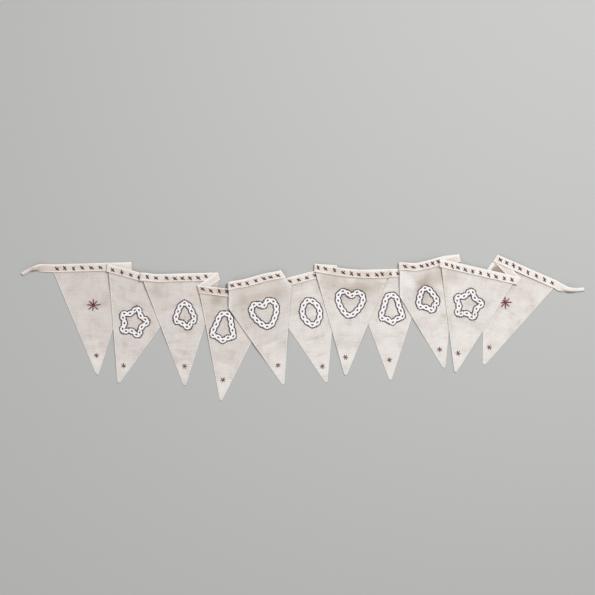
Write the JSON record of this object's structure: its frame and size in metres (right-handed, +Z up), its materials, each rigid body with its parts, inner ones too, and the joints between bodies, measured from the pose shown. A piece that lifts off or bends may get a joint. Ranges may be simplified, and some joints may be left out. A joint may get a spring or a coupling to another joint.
{
  "type": "fabric bunting",
  "caption": "Hand-sewn linen pennants with white ring-braid motifs on one long cotton tape, laid down flat in an overlapping zigzag row with two free tape ends.",
  "frame": {"origin": "middle of the laid bunting's box, on the surface that it lies on", "axes": "+X along the row from the left free end to the right one, +Y from the pennants' tips towards the tape, +Z up from the surface"},
  "size_m": [1.0134, 0.2669, 0.0126],
  "materials": {
    "linen": "matte oatmeal linen, plain weave",
    "tape": "matte cream cotton tape with dark cross stitches",
    "braid": "white ring braid, soft cotton"
  },
  "bodies": {
    "root": {"pennant_01": "linen", "pennant_02": "linen", "pennant_03": "linen", "pennant_04": "linen", "pennant_05": "linen", "pennant_06": "linen", "pennant_07": "linen", "pennant_08": "linen", "pennant_09": "linen", "pennant_10": "linen", "pennant_11": "linen", "tape": "tape", "motif_02": "braid", "motif_03": "braid", "motif_04": "braid", "motif_05": "braid", "motif_06": "braid", "motif_07": "braid", "motif_08": "braid", "motif_09": "braid", "motif_10": "braid"}
  },
  "joints": []
}
